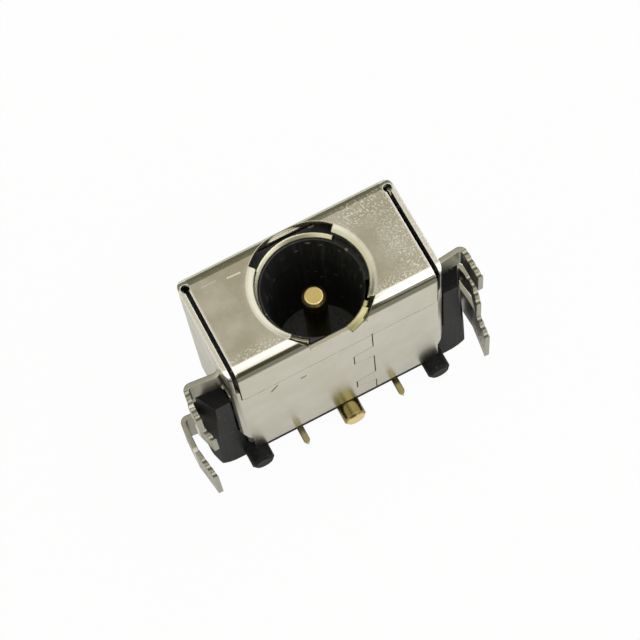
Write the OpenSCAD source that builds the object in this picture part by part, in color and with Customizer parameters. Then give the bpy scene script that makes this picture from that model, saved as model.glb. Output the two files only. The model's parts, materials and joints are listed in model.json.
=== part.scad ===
// Right-angle DC power jack in a folded sheet-metal shield.
// The plug axis is +Z and the mouth is up. The board side, with the legs,
// the tails and the locating pegs, faces -Y. The origin is the pin axis at
// the rear face, so the jack stands on its rear face. Millimetres.

/* [Shield] */
// Outside width of the shield, wall to wall
body_w = 15.7; // [14.8:0.1:18]
// From the plug axis to the outside of the top plate
top_h = 4.4; // [4.35:0.05:5.4]
// From the plug axis to the board seat
seat_h = 3.7; // [3.65:0.05:4.4]
// Length of the shield along the plug axis
shield_len = 14; // [13.4:0.1:16]
// Thickness of the shield sheet
sheet_t = 0.35; // [0.25:0.05:0.4]
// Outside radius of the shield's folds
fold_r = 0.9; // [0.7:0.05:1.1]
// Width of the front plate between its two slits
face_w = 14.4; // [13.8:0.1:14.6]
// Gap of the slit beside the front plate
slit_w = 0.3; // [0.2:0.05:0.35]
// Depth of the front plate's lower fold along the board side
lower_fold = 4.05; // [3.4:0.05:4.6]
// Gap of the butted seams in the board side
seam_w = 0.07; // [0.04:0.01:0.12]

/* [Mouth] */
// How far the drawn lips reach in from their roots
lip_reach = 0.745; // [0.6:0.005:0.9]
// How far outside the plain cut the lips leave the front plate
lip_root = 0.22; // [0.15:0.01:0.4]
// How deep each lip is drawn
lip_h = 0.3; // [0.2:0.05:0.45]
// Half of the angle that each lip spans
lip_a = 43; // [30:1:50]
// Diameter of the mouth where it is cut and not drawn
mouth_cut_d = 8.45; // [8.35:0.05:8.6]
// How far back the cut runs through the upper fold
upper_cut = 0.8; // [0.6:0.05:0.9]
// How far back the cut runs through the lower fold
lower_cut = 1.35; // [1.2:0.05:1.5]

/* [Socket] */
// Diameter of the plug bore in the insulator
bore_d = 6.2; // [5.8:0.05:6.3]
// Depth of the plug bore
bore_len = 10.6; // [9.5:0.1:11]
// Length of the bore's lead-in cone
cone_len = 2.6; // [1:0.1:3.5]
// Diameter of the centre pin and of its tail
pin_d = 1.65; // [1.3:0.05:2]
// How far the pin tip lies behind the front plate
pin_recess = 2.45; // [1.5:0.05:4]
// How far the contact sleeve lies behind the front plate
sleeve_recess = 0.9; // [0.9:0.05:1.1]
// Outside diameter of the contact sleeve
sleeve_d = 7.7; // [7.5:0.05:7.7]
// Thickness of the contact sheet
contact_t = 0.28; // [0.2:0.01:0.3]
// How far each contact leaf bows into the bore
leaf_bow = 0.3; // [0.1:0.05:0.6]

/* [Legs] */
// Distance from one shield leg to the next
leg_pitch = 4.1; // [3.9:0.05:4.3]
// Width of the two front legs
leg_w = 2; // [1.6:0.05:2.3]
// How far the front leg stands out from the shield wall
leg_reach = 2.45; // [2.3:0.05:3.2]
// How much further out each leg behind it stands
leg_flare = 0.13; // [0:0.01:0.2]
// How far the two front legs pass below the board seat
leg_depth = 0.5; // [0.3:0.05:2]
// How far the rear leg passes below the board seat
rear_leg_depth = 1.7; // [1:0.05:3]
// Height of the front flange's upper face above the board seat
flange_h = 2; // [1.9:0.05:2.2]
// How much higher each flange behind it sits
flange_step = 0.5; // [0.3:0.05:0.55]
// How far the left rear leg has been sprung outwards
left_spring = 0.65; // [0:0.05:1]

/* [Carrier] */
// Length of the carrier behind the shield
carrier_len = 2.35; // [2.3:0.05:3]
// Height of the carrier's underside above the board seat
carrier_lift = 0.65; // [0.5:0.05:0.75]
// Diameter of the two locating pegs
peg_d = 1.7; // [1.3:0.05:1.75]
// Distance between the two locating pegs
peg_pitch = 13.9; // [13:0.1:14.4]
// How far the pegs pass below the board seat
peg_depth = 0.95; // [0.8:0.05:2]

/* [Tails] */
// Distance from the centre tail to each thin tail
tail_pitch = 3.75; // [3.4:0.05:4]
// Width of the thin tails
tail_w = 0.45; // [0.35:0.05:0.6]
// How far the tails pass below the board seat
tail_depth = 1.2; // [0.8:0.05:2.5]

/* [Node] */
// Which part to build

/* [Hidden] */
$fn = 48;
eps = 0.02;
fit = 0.05;                       // gap between parts that slide together
rear_gap = 0.05;                  // gap between the shield and the carrier
shield_z = carrier_len + rear_gap;
front_z = shield_z + shield_len;  // outside of the front plate
wall_x = body_w / 2;
tail_z = shield_z - 1;            // the row of tails and pegs
bend_r = 1.1;                     // centre line of the pin's right-angle bend
shank_r = pin_d / 2 + 0.05;       // the pin where the mouldings hold it
housing_z = front_z - 1.2;
floor_z = housing_z - bore_len;
outer_r = sleeve_d / 2;
inner_r = outer_r - contact_t;    // inside of the contact sleeve
lip_r = mouth_cut_d / 2 + lip_root;
spring_in = 0.08;                 // the spring's wall lies inside the sleeve's
sleeve_a = [42, 239];             // what the sleeve spans, from +X
spring_a = [-61, -43];            // and the spring's wall
hook_a = [-78, -50];              // and the hook over the lower cut
hook_z = front_z - lower_cut + fit;
collar_r = pin_d / 2 + 0.33;      // the collar that stops the pin
leg_front = 2.4;                  // first leg, behind the front plate
rear_leg_w = shield_len - leg_front - 2 * leg_pitch;
peg_shift = -0.15;                // the pegs are keyed to one side
tab_x = 4.4;                      // the lock tabs, each side of the middle
leaf_a = 31;                      // contact leaves, below the horizontal
leaf_span = 22;
under_y = -(seat_h - carrier_lift);
leg_in = wall_x + leg_reach + leg_flare - sheet_t;  // inner face of the middle legs
arm_front = front_z - leg_front - leg_w - 0.6;

NICKEL = [0.73, 0.72, 0.66];
GOLD = [0.76, 0.66, 0.38];
BLACK = [0.10, 0.10, 0.10];

// Points on an ellipse's arc about [x, y], from angle a0 to a1.
function oval(x, y, rx, ry, a0, a1, n = 5) =
    [for (i = [0:n]) let (a = a0 + (a1 - a0) * i / n) [x + rx * cos(a), y + ry * sin(a)]];

// The same on a circle.
function arc(x, y, r, a0, a1, n = 5) = oval(x, y, r, r, a0, a1, n);

// The shield's outline across the plug axis, set in by i.
function across(i) = let (x = wall_x - fold_r, t = top_h - fold_r, b = fold_r - seat_h, r = fold_r - i)
    concat(arc(x, t, r, 0, 90), arc(-x, t, r, 90, 180), arc(-x, b, r, 180, 270), arc(x, b, r, 270, 360));

// The shield's outline from the side, set in by i, as [y, z] down to z0.
function along(i, z0) = let (t = top_h - fold_r, b = fold_r - seat_h, z = front_z - fold_r, r = fold_r - i)
    concat(arc(t, z, r, 0, 90), arc(b, z, r, 90, 180), [[i - seat_h, z0], [top_h - i, z0]]);

// Lays a [y, z] outline in its plane and carries it w wide about x.
module lay(w, x = 0) {
    translate([x - w / 2, 0, 0]) rotate([90, 0, 90]) linear_extrude(w) children();
}

// A prism from a list of [x, y] points between two heights.
module post(z0, z1) {
    translate([0, 0, z0]) linear_extrude(z1 - z0) children();
}

// Turns an [r, z] outline about the plug axis, over angles a[0] to a[1].
module sector(a) {
    rotate([0, 0, a[0]]) rotate_extrude(angle = a[1] - a[0]) children();
}

// A rectangle from [x0, y0] to [x1, y1].
module box2(x0, y0, x1, y1) {
    translate([x0, y0]) square([x1 - x0, y1 - y0]);
}

module mirrored() {
    children();
    mirror([1, 0, 0]) children();
}

// ---------------------------------------------------------------- shield

// The flat blank folded round the insulator, before its cuts.
module folded_tube() {
    difference() {
        intersection() {
            post(shield_z, front_z) polygon(across(0));
            lay(body_w) polygon(along(0, shield_z));
        }
        intersection() {
            post(shield_z - 1, front_z) polygon(across(sheet_t));
            lay(body_w) polygon(along(sheet_t, shield_z - 1));
        }
    }
}

// The flat zone of the front plate, inside its upper and lower folds.
module plate_zone() {
    translate([-wall_x, fold_r - seat_h, front_z - 2])
        cube([body_w, top_h + seat_h - 2 * fold_r, 4]);
}

// The mouth: round through the plate and its folds, and wider where the
// lips are drawn.
module mouth_cut() {
    r = mouth_cut_d / 2;
    sector([0, 180]) box2(0, front_z - upper_cut, r, front_z + 1);
    sector([180, 360]) box2(0, front_z - lower_cut, r, front_z + 1);
    intersection() {
        plate_zone();
        for (a = [0, 180]) sector([a - lip_a, a + lip_a])
            box2(0, front_z - sheet_t - 0.2, lip_r, front_z + 1);
    }
}

// The rim at each side of the mouth, drawn inwards to a quarter round.
module drawn_lips() {
    w = lip_reach;
    intersection() {
        plate_zone();
        for (a = [0, 180]) sector([a - lip_a, a + lip_a]) polygon(concat(
            [[lip_r + 0.05, front_z]],
            oval(lip_r, front_z - lip_h, w, lip_h, 90, 180, 6),
            oval(lip_r, front_z - lip_h - sheet_t, w, lip_h, 180, 90, 3),
            [[lip_r + 0.05, front_z - sheet_t]]));
    }
}

// One leg: out of the wall, over, and down through the board. f is the
// upper face at the wall, tip the leg's end, out its reach. From the bend
// the leg bows out by bow, and its tip is turned back in by toe.
module leg(z0, w, f, tip, out, bow, toe, marks, holes) {
    rc = 0.3;
    ro = 0.55;
    rise = 6;
    x0 = wall_x + rc;
    xl = wall_x + out;
    yc = f + rc * (1 - cos(rise)) - ro * cos(rise)
        + tan(rise) * (xl - ro - x0 - (ro + rc) * sin(rise));
    knee = [xl + bow, tip + 0.55 * (yc - tip)];
    foot = [xl + bow - toe, tip];
    difference() {
        post(z0, z0 + w) polygon(concat(
            [[wall_x, f + rc + eps]],
            arc(x0, f + rc, rc, 180, 270 + rise, 4),
            arc(xl - ro, yc, ro, 90 + rise, 0),
            [knee, foot, foot - [sheet_t, 0], knee - [sheet_t, 0]],
            arc(xl - ro, yc, ro - sheet_t, 0, 90 + rise),
            arc(x0, f + rc, rc + sheet_t, 270 + rise, 180, 4),
            [[wall_x - sheet_t, f + rc + eps]]));
        // Pressed notches down the front edge, to grip the solder.
        for (i = [0:marks - 1])
            translate([xl - 1, tip + 0.3 + 0.6 * i, z0 + w + 0.07])
                rotate([0, 90, 0]) cylinder(r = 0.22, h = 2, $fn = 8);
        // Three holes near the tip, each smaller than the one above.
        for (i = [0:holes - 1])
            translate([xl - 1, tip + 0.4 + 0.47 * (holes - 1 - i), z0 + w * 0.38])
                rotate([0, 90, 0]) cylinder(r = 0.19 - 0.04 * i, h = 2, $fn = 16);
    }
}

// The three legs of one side, and what spring adds to their reach.
module leg_row(spring) {
    bow = [spring / 5, 0.13, 0.07];
    toe = [0, 0.45, 0.35];
    for (i = [0:1]) let (z1 = front_z - leg_front - i * leg_pitch)
        leg(z1 - leg_w, leg_w, flange_h - seat_h + i * flange_step,
            -seat_h - leg_depth - i * 0.2, leg_reach + i * leg_flare + [spring / 4, 0][i],
            bow[i], toe[i], 4, 0);
    leg(shield_z, rear_leg_w, flange_h - seat_h + 2 * flange_step,
        -seat_h - rear_leg_depth, leg_reach + 2 * leg_flare + spring, bow[2], toe[2], 3, 3);
}

// What the press cuts from one side wall: a window under each flange,
// and a fine slit that frees it from the wall behind.
module wall_cuts() {
    low = -seat_h + carrier_lift;
    for (i = [0:2]) {
        z1 = front_z - leg_front - i * leg_pitch;
        w = i < 2 ? leg_w : rear_leg_w + 1;
        top = flange_h - seat_h + i * flange_step + 0.3;
        translate([wall_x - 1, low, z1 - w - 0.1]) cube([2, top - low, w + 0.2]);
        if (i < 2) {
            translate([wall_x - 0.6, low, z1 - w - 0.7])
                cube([1, top_h - fold_r - low, 0.14]);
            translate([wall_x - 1, top - 0.5, z1 - 0.02]) cube([2, 0.5, 0.14]);
        }
    }
}

// The line on which the two halves of the board side lock together.
module dovetail_seam() {
    x = 2.3;
    reach = 1.45;
    z1 = front_z - lower_fold + 0.2;
    // Each key is [where it starts, how long it is], behind the fold.
    keys = [[2.3, 1.85], [7.15, 1.6]];
    g = seam_w / 2;
    translate([0, -seat_h - 0.5, 0]) rotate([-90, 0, 0]) linear_extrude(1) {
        for (k = keys) let (a = z1 - k[0], b = a - k[1], m = 0.22)
            polygon([[x + g, -a - g], [x - reach - g, -a + m - g],
                     [x - reach - g, -b - m + g], [x + g, -b + g],
                     [x + g, -b - g], [x - reach + g, -b - m - g],
                     [x - reach + g, -a + m + g], [x + g, -a + g]]);
        for (s = [[z1, z1 - keys[0][0]],
                  [z1 - keys[0][0] - keys[0][1], z1 - keys[1][0]],
                  [z1 - keys[1][0] - keys[1][1], shield_z - 1]])
            translate([x - g, -s[0]]) square([seam_w, s[0] - s[1]]);
    }
}

module shield() color(NICKEL) {
    difference() {
        union() {
            difference() {
                folded_tube();
                mouth_cut();
            }
            drawn_lips();
        }
        mirrored() {
            // The slit beside the front plate, with its round relief.
            translate([face_w / 2, -seat_h - 1, front_z - 2.8])
                cube([slit_w, seat_h + top_h - fold_r + 0.9, 4]);
            translate([face_w / 2 + slit_w * 0.6, top_h - fold_r - 0.05, front_z - 1])
                cylinder(r = slit_w, h = 2, $fn = 24);
            wall_cuts();
            // The board side is cut back at its rear corners.
            translate([0, -seat_h - 1, 0]) rotate([-90, 0, 0]) linear_extrude(1 + carrier_lift)
                polygon([[face_w / 2 - 0.05, -shield_z + 1], [face_w / 2 - 0.05, -shield_z - 1.95],
                         [wall_x - 0.45, -shield_z - 2.2], [wall_x + 0.1, -shield_z - 3.1],
                         [wall_x + 1, -shield_z + 1]]);
            // The prong beside the lower fold.
            translate([face_w / 2, -seat_h - 1, front_z - lower_fold - seam_w])
                cube([seam_w, 1 + sheet_t + 0.1, lower_fold]);
        }
        // The butt between the lower fold and the board side.
        translate([-face_w / 2, -seat_h - 1, front_z - lower_fold - seam_w])
            cube([face_w, 1 + sheet_t + 0.1, seam_w]);
        dovetail_seam();
    }
    leg_row(0);
    mirror([1, 0, 0]) leg_row(left_spring);
    // Two tabs at the rear edge, folded down to lock the carrier.
    for (x = [-tab_x, tab_x])
        lay(1.8, x) polygon(concat(
            [[top_h, shield_z + 0.3]],
            arc(top_h - 0.5, 0.55, 0.5, 0, -90, 6),
            [[top_h - 1.3, 0.05], [top_h - 1.3, 0.05 + sheet_t]],
            arc(top_h - 0.5, 0.55, 0.5 - sheet_t, -90, 0, 6),
            [[top_h - sheet_t, shield_z + 0.3]]));
}

// --------------------------------------------------------------- housing

// A channel through the liner for one contact leaf and its strap, open to
// the bore along the leaf.
module leaf_channel() {
    r0 = bore_d / 2 - 0.3;
    r1 = inner_r - spring_in - fit - 0.02;
    r2 = outer_r + 2 * fit;
    sector([-leaf_a - leaf_span / 2 - 1, -leaf_a + leaf_span / 2 + 1]) polygon([
        [r1, shield_z - 1], [r2, shield_z - 1], [r2, housing_z - 3], [r1, housing_z - 3],
        [r1, housing_z - 4.3], [r0, housing_z - 4.3], [r0, floor_z + 0.6], [r1, floor_z + 0.6]]);
}

module housing() color(BLACK) difference() {
    post(shield_z, housing_z) polygon(across(sheet_t + fit));
    // The plug bore, with a long lead-in cone.
    rotate_extrude($fn = 64) let (r0 = bore_d / 2, r1 = inner_r - spring_in - fit - 0.04)
        polygon([[0, floor_z], [r0, floor_z], [r0, housing_z - cone_len],
                 [r1, housing_z], [r1, housing_z + 1], [0, housing_z + 1]]);
    // The slots that take the contact sleeve and the spring, open in front.
    sector(sleeve_a + [-1, 1])
        box2(inner_r - fit, housing_z - 4.05, outer_r + fit, housing_z + 1);
    sector([spring_a[0] - 1, -leaf_a + leaf_span / 2 + 1])
        box2(inner_r - spring_in - fit, housing_z - 3.8, outer_r - spring_in + fit, housing_z + 1);
    // A step for the spring's hook.
    sector([hook_a[0] - 2, spring_a[1] + 2])
        box2(inner_r - spring_in - 2 * fit, hook_z - fit, outer_r + 1, housing_z + 1);
    mirrored() leaf_channel();
    // The seat of the centre pin, and of its collar.
    translate([0, 0, shield_z - 1]) cylinder(r = shank_r + fit, h = bore_len);
    translate([0, 0, shield_z - 1]) cylinder(r = collar_r + fit, h = 1.5 + fit);
    // Cored pockets in the rear face, above the pin.
    mirrored() translate([2.2, 1.6, shield_z - 1]) cube([3.6, 1.5, 1.8]);
}

// --------------------------------------------------------------- carrier

// The plan of one arm, from the rear face to under the second flange.
function arm_plan() = let (x0 = wall_x + 2 * fit, x1 = leg_in - 0.08,
                           x2 = wall_x - sheet_t + fit, z = shield_z + rear_leg_w) concat(
    [[x0, arm_front], [x1, arm_front]],
    oval(x1 - 1.6, 1.95, 1.6, 1.85, 0, -80),
    [[wall_x - 1.2, 0.02], [wall_x - 1.2, carrier_len], [x2, carrier_len],
     [x2, z - 0.7], [x0, z - 0.15]]);

module arm() {
    arm_top = flange_h - seat_h + flange_step - sheet_t - fit;
    difference() {
        translate([0, under_y, 0]) rotate([90, 0, 0]) mirror([0, 0, 1])
            linear_extrude(arm_top - under_y) polygon(arm_plan());
        // The outer face leans in towards the board, and more at the front.
        translate([leg_in - 0.68, under_y, 4.8]) rotate([0, -3, -28])
            translate([0, -1, -10]) cube([3, 4, 20]);
    }
}

// A locating peg with a short boss at its root.
module peg() {
    r = peg_d / 2;
    z = seat_h + peg_depth;
    translate([0, 0, tail_z]) rotate([90, 0, 0]) rotate_extrude() polygon([
        [0, -under_y - 0.3], [r + 0.06, -under_y - 0.3], [r, seat_h - 0.05], [r, z - 0.2], [r - 0.2, z], [0, z]]);
}

module carrier() color(BLACK) difference() {
    union() {
        // The block behind the shield.
        intersection() {
            post(0, carrier_len) polygon(across(sheet_t + fit));
            translate([-body_w, under_y, -1]) cube([2 * body_w, 20, 10]);
        }
        mirrored() arm();
        for (x = [-peg_pitch / 2, peg_pitch / 2]) translate([x + peg_shift, 0, 0]) peg();
    }
    // The chamber round the pin's bend and the contact tabs.
    translate([-tail_pitch - 0.95, under_y + 0.35, tail_z - shank_r - 0.075])
        cube([2 * tail_pitch + 1.9, 1.2 - under_y - 0.35, 9]);
    // A slot for each tail, open to the front for assembly.
    translate([0, under_y - 1, tail_z]) rotate([-90, 0, 0]) cylinder(r = shank_r + fit, h = 2);
    translate([-shank_r - fit, under_y - 1, tail_z]) cube([2 * (shank_r + fit), 2, 3]);
    mirrored() translate([tail_pitch - tail_w / 2 - fit, under_y - 1, tail_z - 0.2])
        cube([tail_w + 2 * fit, 2, 3]);
    // A step in the top face and the rear face for each lock tab.
    for (x = [-tab_x, tab_x]) translate([x - 1, top_h - 1.45, -1]) {
        cube([2, 3, 1.05 + sheet_t + 0.1]);
        translate([0, 1.45 - sheet_t - 0.05, 0]) cube([2, 1, 9]);
    }
    // Ejector marks on the rear face.
    mirrored() translate([5.4, -1.3, -1]) cylinder(d = 1.3, h = 1.08, $fn = 24);
}

// -------------------------------------------------------------- contacts

// The solid pin, turned at its ends and bent through a right angle. It
// tapers to its full diameter where the insulator and the carrier hold it.
module centre_pin() color(GOLD) {
    r = pin_d / 2;
    z0 = tail_z + bend_r;
    tip = front_z - pin_recess;
    rotate_extrude() polygon([
        [0, z0], [collar_r, z0], [collar_r, shield_z + 0.5], [shank_r, shield_z + 0.5],
        [r, floor_z], [r, tip - 0.22], [r - 0.22, tip], [0, tip]]);
    translate([0, -bend_r, z0]) rotate([0, -90, 0]) rotate([0, 0, 90])
        rotate_extrude(angle = 90) translate([bend_r, 0]) circle(r = shank_r);
    end = seat_h + tail_depth;
    translate([0, 0, tail_z]) rotate([90, 0, 0]) rotate_extrude() polygon([
        [0, bend_r], [shank_r, bend_r], [r, seat_h - 0.1],
        [r, end - 0.2], [r - 0.2, end], [0, end]]);
}

// A sprung leaf: a thinned strap that runs back from the contact's wall,
// bows into the bore and ends in the tail, which turns down through the
// board. r0 is the inside of the wall, and z1 the strap's front end.
module leaf_and_tail(r0, z1) {
    a = -leaf_a - leaf_span / 2;
    mid = (floor_z + housing_z) / 2 - 1.6;
    span = 2.6;
    bow = r0 - bore_d / 2 + leaf_bow;
    z0 = tail_z - 0.15;
    zs = concat([z1], [for (i = [0:12]) mid + span - span * i / 6], [z0]);
    function sag(z) = abs(z - mid) < span ? bow * (1 + cos(180 * (z - mid) / span)) / 2 : 0;
    sector([a, a + leaf_span]) polygon(concat(
        [for (z = zs) [r0 - sag(z) + contact_t - 0.02, z]],
        [for (i = [len(zs) - 1:-1:0]) [r0 - sag(zs[i]) + 0.02, zs[i]]]));
    t0 = tail_pitch - tail_w / 2;
    t1 = tail_pitch + tail_w / 2;
    end = -seat_h - tail_depth;
    post(z0, z0 + 0.3) polygon([
        r0 * [cos(a), sin(a)], r0 * [cos(a + leaf_span), sin(a + leaf_span)],
        [t1, outer_r * sin(a + leaf_span)], [t1, end + 0.3], [tail_pitch, end],
        [t0, end + 0.3], [t0, under_y + 0.45]]);
}

// The rolled sleeve, open along the board side, with a flared front edge
// and its left leaf.
module sleeve_contact() color(NICKEL) {
    z = front_z - sleeve_recess;
    sector(sleeve_a) polygon([
        [inner_r, housing_z - 4], [outer_r, housing_z - 4], [outer_r, z - 0.28],
        [outer_r + 0.03, z - 0.14], [outer_r - 0.05, z], [inner_r, z - 0.26]]);
    mirror([1, 0, 0]) leaf_and_tail(inner_r, housing_z - 3.5);
}

// The plated spring that closes the sleeve at the lower right. Its front
// edge hooks out over the lower cut of the mouth.
module barrel_spring() color(GOLD) {
    r0 = inner_r - spring_in;
    r1 = mouth_cut_d / 2 - 0.17;
    top = housing_z - 2.7;
    difference() {
        sector([spring_a[0], -leaf_a])
            box2(r0, housing_z - 3.7, r0 + contact_t, front_z - 1.1);
        sector([spring_a[1], -leaf_a + 1]) box2(r0 - 1, top, r0 + 1, front_z);
    }
    sector(hook_a) polygon([
        [r0 + 0.02, hook_z], [r1 - 0.1, hook_z], [r1, hook_z + 0.06], [r1, hook_z + 0.16],
        [r1 - 0.12, hook_z + 0.27], [r0 + 0.02, hook_z + 0.3]]);
    leaf_and_tail(r0, top - 0.1);
}

shield();
housing();
carrier();
centre_pin();
sleeve_contact();
barrel_spring();
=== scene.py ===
# %% [markdown]
# # A DC barrel jack in a nickel-plated shield
#
# The jack is small, about 22 mm over its legs, and almost all of it is
# hard: a folded metal shield, two black mouldings, a gold pin and two
# contacts. Their shapes come from the CAD frame, so this lesson is about
# finishes, light and a camera. The frame is loaded first and its box is
# kept, because every place in the scene is worked out from it.

# %% Load the frame
import json
import math

import bpy
from mathutils import Matrix, Vector


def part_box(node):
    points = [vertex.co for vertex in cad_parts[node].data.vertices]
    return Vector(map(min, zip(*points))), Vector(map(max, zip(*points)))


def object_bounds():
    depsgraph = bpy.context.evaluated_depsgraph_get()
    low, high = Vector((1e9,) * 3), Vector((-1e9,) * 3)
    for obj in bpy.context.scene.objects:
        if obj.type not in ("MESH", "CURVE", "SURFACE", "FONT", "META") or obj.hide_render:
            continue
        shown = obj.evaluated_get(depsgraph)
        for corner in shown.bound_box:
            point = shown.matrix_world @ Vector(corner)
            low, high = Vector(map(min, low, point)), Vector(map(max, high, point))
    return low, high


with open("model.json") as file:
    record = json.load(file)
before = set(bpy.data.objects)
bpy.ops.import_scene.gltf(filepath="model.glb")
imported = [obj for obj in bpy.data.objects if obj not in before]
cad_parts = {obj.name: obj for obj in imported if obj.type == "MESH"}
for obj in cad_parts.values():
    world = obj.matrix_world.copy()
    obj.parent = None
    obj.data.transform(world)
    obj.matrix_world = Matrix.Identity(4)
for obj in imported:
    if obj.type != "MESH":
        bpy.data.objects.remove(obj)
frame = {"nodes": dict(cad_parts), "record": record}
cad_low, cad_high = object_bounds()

MM = 0.001
nodes = frame["nodes"]
print("pieces:", sorted(nodes), "box:", [round(v / MM, 2) for v in cad_high - cad_low])

# %% [markdown]
# ## Measures read from the frame
#
# A finish often depends on where it lies on the part: the front plate is
# scuffed, a fold is burnished and a bore holds dust. The faces that carry
# such marks are found from the boxes of the pieces and from the record's
# mounts, in millimetres, because that is the scale of the marks.

# %% Where things are
SHEET = 0.35  # thickness of the shield's sheet

record_mounts = {m["name"]: m for m in frame["record"]["mounts"]}
seat_y = record_mounts["board_seat"]["pos_m"][1] / MM
plug_pin = record_mounts["plug_pin"]
bore_floor = plug_pin["pos_m"][2] / MM - plug_pin["dims"]["length_mm"] / 2
front_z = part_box("shield")[1].z / MM
wall_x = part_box("housing")[1].x / MM + SHEET
pin_low, pin_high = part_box("centre_pin")
tail_end = pin_low.y / MM
pin_tip = pin_high.z / MM
print("front plate at z", round(front_z, 2), "mm, board side at y", round(seat_y, 2), "mm")
print("side walls at x", round(wall_x, 2), "mm, bore floor at z", round(bore_floor, 2), "mm")

# %% [markdown]
# ## Shader maths as plain expressions
#
# Blender builds a material from nodes. Wiring Math nodes by hand hides the
# idea, so a small class wraps a socket and lets `a * b + 1` add the nodes
# by itself. Any other node comes from one method that takes its type, its
# settings and the values of its sockets.

# %% A socket that does sums
class Sock:
    """A node's output that can be used in a sum. Each operator adds one Math node."""

    def __init__(self, maker, socket):
        self.maker, self.socket = maker, socket

    def _math(self, kind, *values):
        return self.maker.node("ShaderNodeMath", {"operation": kind}, dict(enumerate(values)))

    def __add__(self, other): return self._math("ADD", self, other)
    def __radd__(self, other): return self._math("ADD", other, self)
    def __sub__(self, other): return self._math("SUBTRACT", self, other)
    def __rsub__(self, other): return self._math("SUBTRACT", other, self)
    def __mul__(self, other): return self._math("MULTIPLY", self, other)
    def __rmul__(self, other): return self._math("MULTIPLY", other, self)
    def __truediv__(self, other): return self._math("DIVIDE", self, other)
    def __abs__(self): return self._math("ABSOLUTE", self)
    def min(self, other): return self._math("MINIMUM", self, other)
    def max(self, other): return self._math("MAXIMUM", self, other)
    def root(self): return self._math("SQRT", self)
    def clamp(self): return self.max(0.0).min(1.0)


# %% [markdown]
# ## A maker of nodes
#
# One class adds the nodes and joins their sockets. A value may be a socket,
# which is linked, or a number or a colour, which is set on the socket. On
# top of that come the few patterns that the finishes share: a noise, a
# smooth step, a mix of two colours, a streak and the relief.

# %% The maker
BEVEL_SAMPLES = 6
BUMP_DEPTH = 0.03  # how high a bump of full height stands


class Maker:
    """Empties the node tree of a material or a world, adds nodes and hands back their sockets."""

    def __init__(self, owner):
        owner.use_nodes = True
        self.tree = owner.node_tree
        self.tree.nodes.clear()

    def plug(self, socket, value):
        """Links a socket to the input, or sets a number or a colour on it."""
        if isinstance(value, Sock):
            self.tree.links.new(value.socket, socket)
        elif isinstance(value, tuple) and socket.type == "RGBA":
            socket.default_value = (*value, 1.0)
        else:
            socket.default_value = value

    def add(self, kind, settings=None, inputs=None):
        """One node: its settings are set first, then its inputs."""
        made = self.tree.nodes.new(kind)
        for name, value in (settings or {}).items():
            setattr(made, name, value)
        for name, value in (inputs or {}).items():
            self.plug(made.inputs[name], value)
        return made

    def node(self, kind, settings=None, inputs=None, out=0):
        """The output of one new node that out names."""
        return Sock(self, self.add(kind, settings, inputs).outputs[out])

    def split(self, vector):
        """The x, y and z of a vector, as three sockets."""
        made = self.add("ShaderNodeSeparateXYZ", {}, {0: vector})
        return [Sock(self, output) for output in made.outputs]

    def place(self):
        """The point on the piece in millimetres, whole and as its x, y and z."""
        where = self.node("ShaderNodeTexCoord", out="Object")
        point = self.node("ShaderNodeVectorMath", {"operation": "SCALE"},
                          {0: where, "Scale": 1 / MM})
        return point, *self.split(point)

    def stretch(self, point, sizes):
        """The point with each axis times its own number; a small one draws a pattern out."""
        return self.node("ShaderNodeVectorMath", {"operation": "MULTIPLY"}, {0: point, 1: sizes})

    def noise(self, point, scale, detail=2.0, rough=0.5):
        return self.node("ShaderNodeTexNoise", {}, {
            "Vector": point, "Scale": scale, "Detail": detail, "Roughness": rough})

    def step(self, value, low, high):
        """0 below low and 1 above high, with a smooth ramp between.

        It is turned round where low is above high: 1 below high and 0 above low.
        """
        made = self.node("ShaderNodeMapRange", {"interpolation_type": "SMOOTHSTEP"}, {
            "Value": value, "From Min": min(low, high), "From Max": max(low, high)})
        return 1.0 - made if low > high else made

    def mix(self, factor, a, b):
        """Colour a where factor is 0 and colour b where it is 1."""
        return self.node("ShaderNodeMix", {"data_type": "RGBA"}, {0: factor, 6: a, 7: b}, out=2)

    def streak(self, u, v, start, end, width):
        """1 on the line from start to end in the u, v plane, fading to 0 at width from it.

        The nearest point of the line is its start plus the line times t, where t
        is the share of the way along, kept between 0 and 1; the mask falls with
        the distance to that point.
        """
        du, dv = end[0] - start[0], end[1] - start[1]
        along = (((u - start[0]) * du + (v - start[1]) * dv) / (du * du + dv * dv)).clamp()
        off_u, off_v = u - start[0] - along * du, v - start[1] - along * dv
        return self.step((off_u * off_u + off_v * off_v).root(), width, width * 0.3)

    def streaks(self, u, v, lines):
        """The strongest of several streaks, each a row of start, end, width and strength."""
        found = [self.streak(u, v, start, end, width) * strength
                 for start, end, width, strength in lines]
        strongest = found[0]
        for each in found[1:]:
            strongest = strongest.max(each)
        return strongest

    def relief(self, height, strength, radius):
        """A normal that rounds each edge by that radius and adds a bump of that height."""
        rounded = self.node("ShaderNodeBevel", {"samples": BEVEL_SAMPLES}, {"Radius": radius * MM})
        return self.node("ShaderNodeBump", {}, {
            "Height": height, "Strength": strength, "Distance": BUMP_DEPTH * MM,
            "Normal": rounded})


# %% A finish and the piece that wears it
def finish(name, paint):
    """A material whose Principled shader takes its sockets from paint(maker).

    paint gives them as {socket name: value}.
    """
    made = bpy.data.materials.new(name)
    maker = Maker(made)
    shader = maker.node("ShaderNodeBsdfPrincipled", {}, paint(maker))
    maker.add("ShaderNodeOutputMaterial", {}, {0: shader})
    print("finish", name, "with", len(maker.tree.nodes), "nodes")
    return made


def wear(node, material):
    """Puts the material in every slot of a CAD piece."""
    for slot in nodes[node].material_slots:
        slot.material = material


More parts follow.
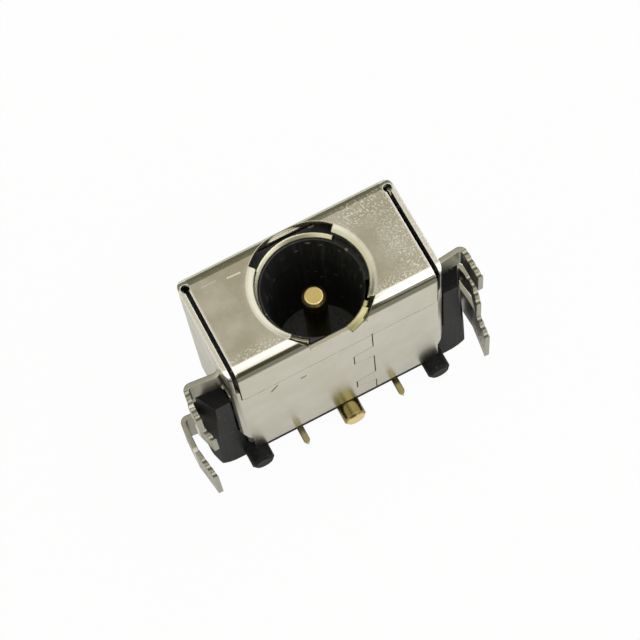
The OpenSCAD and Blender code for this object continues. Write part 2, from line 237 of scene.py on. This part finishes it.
# %% [markdown]
# ## Nickel plate on a folded sheet
#
# The shield is pressed from plated sheet, so it isn't a mirror: the plating
# follows the grain of the sheet and the press leaves a fine orange peel.
# Handling adds pale scuffs on the flats; massed towards the edges of the
# front plate they also paint a sheen. The metal is one Principled shader
# with Metallic at 1. Its colour moves a little with a slow noise, and its
# roughness moves with a finer one. Painted shade darkens the end of the fold
# to the board side, and painted highlights lie along the slits, the fold and
# a spot on the right wall. The folds of the mesh are rows of flat
# strips and the sheet's edges are sharp, so a Bevel node rounds the normal
# over a tenth of a millimetre: the strips run together and each edge gets
# the thin bright line that a pressed edge has.

# %% Where the marks on the shield lie
# Light streaks on the front plate: start and end in x and y, width, strength.
SCUFF_LINES = [((-4.64, 2.80), (-3.76, 2.75), 0.09, 1.0),
               ((-6.40, 3.00), (-5.40, 3.00), 0.05, 0.5),
               ((3.90, 2.90), (5.20, 2.90), 0.06, 0.7)]
# Dark scratches on the board side: start and end in x and z, width, strength.
SCRATCH_LINES = [((-5.18, 11.37), (-4.73, 11.93), 0.12, 1.0),
                 ((-2.99, 11.05), (-2.73, 11.09), 0.14, 1.0)]
# The painted highlight on the right wall: start and end in z, half-width.
SPOT_LOW, SPOT_HIGH, SPOT_WIDTH = 12.0, 13.6, 0.35


def on_front_plate(maker, z):
    """1 on the outer face of the front plate and 0 behind it."""
    return maker.step(z, front_z - 0.06, front_z - 0.02)


def scuffs_and_sheen(maker, x, y, z, grain):
    """Pale handling marks on the front plate, partly a painted sheen.

    Specks gather at its lower, right and upper right edges, where the grain
    is above its mean, and three light streaks cross it. Massed at those edges,
    the specks also paint the lighter sheen that lies there.
    """
    speck = maker.step(grain, 0.50, 0.64)
    lower = maker.step(y, -1.7, -2.8)
    # Painted sheen: more pale specks towards the right edge lighten it.
    right = maker.step(x, 4.4, 6.4)
    upper_right = maker.step(x, 2.6, 4.2) * maker.step(y, 1.6, 2.6)
    specks = speck * lower.max(right * 0.8).max(upper_right)
    return on_front_plate(maker, z) * specks.max(maker.streaks(x, y, SCUFF_LINES))


def scratches(maker, x, y, z):
    """Two short dark scratches on the board side."""
    on_seat = maker.step(y, seat_y + 0.06, seat_y + 0.02)
    return on_seat * maker.streaks(x, z, SCRATCH_LINES)


def painted_highlights(maker, x, y, z):
    """Where highlights are painted on the shield.

    A painted highlight runs along the slits and along the fold to the board
    side, and one lies as a spot on the right wall. On the right the bright band
    of the fold reaches lower than on the left.
    """
    near_wall = maker.step(abs(x), wall_x - 0.80, wall_x - 0.68)
    slits = near_wall * maker.step(z, front_z - 0.32, front_z - 0.22)
    fold = maker.step(y, seat_y + 0.98, seat_y + 0.78)
    right = fold * maker.step(x, 2.6, 4.2) * maker.step(y, seat_y + 0.20, seat_y + 0.30)
    right = right * maker.step(z, front_z - 0.9, front_z - 0.7)
    left = fold * maker.step(y, seat_y + 0.52, seat_y + 0.62) * maker.step(x, 2.6, 1.2)
    spot_x = wall_x - 0.15
    spot = maker.streak(x, z, (spot_x, SPOT_LOW), (spot_x, SPOT_HIGH), SPOT_WIDTH)
    spot = spot * maker.step(y, seat_y + 1.3, seat_y + 0.7)
    return slits.max(right).max(left).max(spot)


# %% The shield's plating
NICKEL_DARK = (0.580, 0.550, 0.445)
NICKEL_LIGHT = (0.730, 0.715, 0.635)
DRAWN_LINE = (0.30, 0.29, 0.23)
LEG_SHADE = (0.34, 0.33, 0.28)
SCUFF_AND_SHEEN_PALE = (0.96, 0.95, 0.88)
FOLD_SHADE = (0.15, 0.145, 0.10)
PAINTED_HIGHLIGHT = (0.97, 0.96, 0.92)
SCRATCH_DARK = (0.06, 0.055, 0.04)


def nickel(maker):
    """Plated sheet: mottled on the front plate, drawn on the walls, dull on the legs.

    Each mark is a mask from 0 to 1 that mixes its own colour over what lies
    below it; among them are a painted shade on the fold and painted highlights.
    The mottling keeps a third of its strength off the front plate.
    """
    point, x, y, z = maker.place()
    cloud = maker.noise(point, 0.45, 4.0, 0.6)
    grain = maker.noise(point, 7.0, 4.0, 0.6)
    drawn = maker.noise(maker.stretch(point, (3.2, 3.2, 0.10)), 1.0, 2.0)
    on_wall = maker.step(abs(x), wall_x - 0.60, wall_x - 0.40)
    on_wall = on_wall * maker.step(z, front_z - 0.3, front_z - 0.6)
    on_leg = maker.step(abs(x), wall_x + 0.25, wall_x + 0.80)
    scuff_sheen_mask = scuffs_and_sheen(maker, x, y, z, grain)
    # Painted shade: a dark band on the end of the fold next to the board side.
    fold_shade_band = maker.step(y, seat_y + 0.46, seat_y + 0.34)
    fold_shade_band = fold_shade_band * maker.step(z, front_z - 0.86, front_z - 0.66)
    strength = 0.35 + on_front_plate(maker, z) * 0.65
    mottle = 0.5 + (maker.step(cloud, 0.3, 0.7) - 0.5) * strength
    base = maker.mix(mottle, NICKEL_DARK, NICKEL_LIGHT)
    base = maker.mix(on_wall * maker.step(drawn, 0.40, 0.62) * 0.30, base, DRAWN_LINE)
    base = maker.mix(on_leg * 0.7, base, LEG_SHADE)
    # Pale scuffs, which massed at the edges also paint a sheen.
    base = maker.mix(scuff_sheen_mask * 0.7, base, SCUFF_AND_SHEEN_PALE)
    # Painted shade on the end of the fold.
    base = maker.mix(fold_shade_band * 0.85, base, FOLD_SHADE)
    # Painted highlights along the slits, the fold and a spot on the right wall.
    base = maker.mix(painted_highlights(maker, x, y, z) * 0.9, base, PAINTED_HIGHLIGHT)
    base = maker.mix(scratches(maker, x, y, z), base, SCRATCH_DARK)
    return {
        "Base Color": base, "Metallic": 1.0,
        "Roughness": 0.20 + 0.08 * grain + 0.14 * scuff_sheen_mask + 0.10 * on_leg,
        "Normal": maker.relief(grain * 0.4 + cloud * 0.4, 0.18, 0.10),
    }


wear("shield", finish("nickel_plate", nickel))


# %% [markdown]
# ## Black mouldings
#
# The insulator and the carrier are glass-filled nylon. It is never quite
# black: the mould's texture catches the light, the core pin that formed the
# bore leaves draw lines down its wall, and pale dust sits on it. A fine
# bump breaks the gloss, a noise drawn out along the plug axis gives the
# lines, and rare specks are paler.

# %% The two mouldings
NYLON_DARK = (0.011, 0.011, 0.0115)
NYLON_LIGHT = (0.021, 0.021, 0.022)
BORE_FLOOR_GREY = (0.13, 0.13, 0.118)
DRAW_LINE = (0.045, 0.045, 0.043)
DUST_SPECK = (0.22, 0.22, 0.21)
BELOW_THE_PART = -1.0


def moulding(gloss, dusty, greyer_below):
    """Black nylon with that specular level.

    dusty is how strongly its draw lines and specks show, and below the height
    greyer_below it is greyer, as on the floor of the bore.
    """
    def paint(maker):
        point, x, y, z = maker.place()
        fine = maker.noise(point, 12.0, 3.0, 0.6)
        cloud = maker.noise(point, 0.8, 2.0)
        drawn = maker.noise(maker.stretch(point, (4.5, 4.5, 0.12)), 1.0, 2.0)
        lines = maker.step(drawn, 0.52, 0.70)
        dust = maker.step(maker.noise(point, 2.0, 1.0), 0.70, 0.74)
        base = maker.mix(cloud, NYLON_DARK, NYLON_LIGHT)
        base = maker.mix(maker.step(z, greyer_below, greyer_below - 0.1), base, BORE_FLOOR_GREY)
        base = maker.mix(lines * dusty, base, DRAW_LINE)
        base = maker.mix(dust * dusty, base, DUST_SPECK)
        return {
            "Base Color": base, "Specular IOR Level": gloss,
            "Roughness": 0.38 + 0.16 * fine,
            "Normal": maker.relief(fine, 0.25, 0.08),
        }
    return paint


wear("housing", finish("insulator", moulding(0.45, 0.9, bore_floor + 0.15)))
wear("carrier", finish("carrier_moulding", moulding(0.10, 0.25, BELOW_THE_PART)))


# %% [markdown]
# ## Gold and pale plating on the contacts
#
# The pin is turned and gold-plated, so fine rings run round it. The sleeve
# is rolled from plated sheet and is paler. Both are metals; the rings are a
# noise squeezed along the pin's axis, used as bump and in the roughness.
# The tails below the board side, and the pin's shank down in the bore,
# are darkened by painted shade.

# %% The contacts' plating
PAINTED_CONTACT_SHADE = (0.20, 0.17, 0.065)
GOLD = ((0.88, 0.70, 0.27), (0.96, 0.79, 0.38))
PALE_PLATE = ((0.90, 0.87, 0.66), (0.98, 0.96, 0.80))
THIN_GOLD = ((0.74, 0.70, 0.38), (0.90, 0.86, 0.56))


def plated(colours, rough):
    """A metal between two colours, with turning marks across the plug axis.

    It is darkened by painted shade on the tails but for their ends, and down
    the pin from a little behind its tip to the floor of the bore.
    """
    def paint(maker):
        point, x, y, z = maker.place()
        rings = maker.noise(maker.stretch(point, (0.6, 0.6, 9.0)), 1.5, 2.0)
        cloud = maker.noise(point, 1.6, 2.0)
        tail_shade = maker.step(y, seat_y + 0.6, seat_y - 0.1)
        tail_shade = tail_shade * maker.step(y, tail_end + 0.04, tail_end + 0.12)
        shank_shade = maker.step(z, pin_tip - 0.7, pin_tip - 1.6)
        shank_shade = shank_shade * maker.step(z, bore_floor - 0.1, bore_floor)
        base = maker.mix(cloud, *colours)
        # Painted shade darkens the tails and the shank deep in the bore.
        base = maker.mix(tail_shade.max(shank_shade) * 0.8, base, PAINTED_CONTACT_SHADE)
        return {
            "Base Color": base, "Metallic": 1.0,
            "Roughness": rough + 0.10 * rings,
            "Normal": maker.relief(rings, 0.12, 0.13),
        }
    return paint


wear("centre_pin", finish("pin_gold", plated(GOLD, 0.16)))
wear("sleeve_contact", finish("sleeve_plating", plated(PALE_PLATE, 0.30)))
wear("barrel_spring", finish("spring_gold", plated(THIN_GOLD, 0.20)))


# %% [markdown]
# ## A floor, a sky and a lamp
#
# Metal shows what stands round it more than its own colour, so the room is
# part of the finish. The floor is white to the eye and to mirrors and still
# takes the object's shadow. The sky is a light tent: white panels, a greyer
# panel straight over the camera, and dark gaps to the front and back, which
# the folds pick up as their dark lines. One soft lamp gives the mouldings
# some shape.

# %% The floor
WHITE = (1.0, 1.0, 1.0)
FLOOR_GREY = (0.80, 0.80, 0.80)
FLOOR_HALF = 0.6  # metres from the middle to each side
FLOOR_GAP = 0.02  # millimetres below the part


def ray(maker, kind):
    """1 where the ray that arrives is of that kind, such as a camera ray."""
    return maker.node("ShaderNodeLightPath", out=kind)


def plain_floor(colour, to_camera, to_mirrors):
    """Diffuse to the lamps, and by those shares plain white to the camera and to mirrors."""
    made = bpy.data.materials.new("floor")
    maker = Maker(made)
    mirrored = ray(maker, "Is Glossy Ray").max(ray(maker, "Is Transmission Ray"))
    seen = (ray(maker, "Is Camera Ray") * to_camera).max(mirrored * to_mirrors)
    lit = maker.node("ShaderNodeBsdfDiffuse", {}, {"Color": colour})
    white = maker.node("ShaderNodeEmission", {}, {"Color": WHITE, "Strength": 1.0})
    both = maker.node("ShaderNodeMixShader", {}, {0: seen, 1: lit, 2: white})
    maker.add("ShaderNodeOutputMaterial", {}, {0: both})
    return made


floor_z = cad_low.z - FLOOR_GAP * MM
corners = [(-FLOOR_HALF, -FLOOR_HALF, floor_z), (FLOOR_HALF, -FLOOR_HALF, floor_z),
           (FLOOR_HALF, FLOOR_HALF, floor_z), (-FLOOR_HALF, FLOOR_HALF, floor_z)]
mesh = bpy.data.meshes.new("floor")
mesh.from_pydata(corners, [], [(0, 1, 2, 3)])
floor = bpy.data.objects.new("floor", mesh)
bpy.context.scene.collection.objects.link(floor)
mesh.materials.append(plain_floor(FLOOR_GREY, 0.96, 0.36))
print("floor at z", round(floor_z / MM, 2), "mm")


# %% The sky
TENT = (1.30, 1.28, 1.21)
WARM = (0.93, 0.91, 0.74)
PANEL = (0.51, 0.475, 0.385)
GAP = (0.15, 0.148, 0.095)


def sky(overhead, inner, outer):
    """A light tent as a function of direction; white to the camera.

    The direction has length 1, so each of its x, y and z is the sine of how
    far it leans that way. The overhead panel fills a cone round its own
    direction, whole within the inner angle and gone at the outer one, both in
    degrees. The gap behind starts where the direction leans 30 to 37 degrees
    back. The gap before starts at 7 to 17 degrees on the left and later
    towards the right. Both end 24 to 33 degrees to either side, and near the
    horizon it is dark all round.
    """
    world = bpy.data.worlds.new("studio")
    bpy.context.scene.world = world
    maker = Maker(world)
    x, y, z = maker.split(maker.node("ShaderNodeTexCoord", out="Generated"))
    aim = Vector(overhead).normalized()
    near = x * aim.x + y * aim.y + z * aim.z
    panel = maker.step(near, math.cos(math.radians(outer)), math.cos(math.radians(inner)))
    ahead = maker.step(abs(x), 0.55, 0.40)
    behind = maker.step(y, 0.50, 0.60)
    before = maker.step(y + (x - 0.17).max(-0.12) * 2.7, -0.45, -0.62)
    low = maker.step(z, 0.22, 0.12)
    room = maker.mix(maker.step(x, -0.22, -0.45), TENT, WARM)
    room = maker.mix(panel, room, PANEL)
    room = maker.mix((behind.max(before) * ahead).max(low), room, GAP)
    shown = maker.mix(ray(maker, "Is Camera Ray"), room, WHITE)
    back = maker.node("ShaderNodeBackground", {}, {"Color": shown, "Strength": 1.0})
    maker.add("ShaderNodeOutputWorld", {}, {0: back})
    print("sky with", len(maker.tree.nodes), "nodes")


sky(overhead=(0.11, 0.38, 0.92), inner=9.0, outer=16.0)


# %% The lamp
def lamp(name, place, aim, size, power):
    """A square area lamp at a place, in metres, turned towards its aim."""
    data = bpy.data.lights.new(name, "AREA")
    data.shape = "SQUARE"
    data.size = size
    data.energy = power
    made = bpy.data.objects.new(name, data)
    bpy.context.scene.collection.objects.link(made)
    made.location = place
    made.rotation_euler = (Vector(aim) - Vector(place)).to_track_quat("-Z", "Y").to_euler()


middle = (cad_low + cad_high) / 2
lamp("front", place=(0.00, -0.18, 0.24), aim=middle, size=0.16, power=0.10)

# %% [markdown]
# ## The camera
#
# A small part is taken from close by with a long lens, so its edges still
# run together a little. The camera stands over the mouth, a hand's breadth
# away, turned and tilted so that the board side shows below the mouth.
# Its right and up directions are made square to each other, and what is
# square to both points backwards, out of the scene.

# %% The camera
EYE = (-17.02, -49.22, 140.6)  # millimetres
RIGHT = (0.8852, -0.4618, -0.0572)
UP = (0.4491, 0.8157, 0.3647)
SENSOR_WIDTH, FOCAL_LENGTH = 36.0, 118.1  # millimetres
CLIP_NEAR, CLIP_FAR = 0.005, 5.0  # metres

right = Vector(RIGHT).normalized()
up = Vector(UP)
up = (up - right * up.dot(right)).normalized()
back = right.cross(up)
lens = bpy.data.cameras.new("camera")
lens.sensor_width = SENSOR_WIDTH
lens.lens = FOCAL_LENGTH
lens.clip_start = CLIP_NEAR
lens.clip_end = CLIP_FAR
camera = bpy.data.objects.new("camera", lens)
bpy.context.scene.collection.objects.link(camera)
turn = Matrix((right, up, back)).transposed().to_4x4()
camera.matrix_world = Matrix.Translation(Vector(EYE) * MM) @ turn
bpy.context.scene.camera = camera
bpy.context.scene.view_settings.view_transform = "Standard"
print("camera", round((Vector(EYE) - middle / MM).length), "mm from the part's middle")
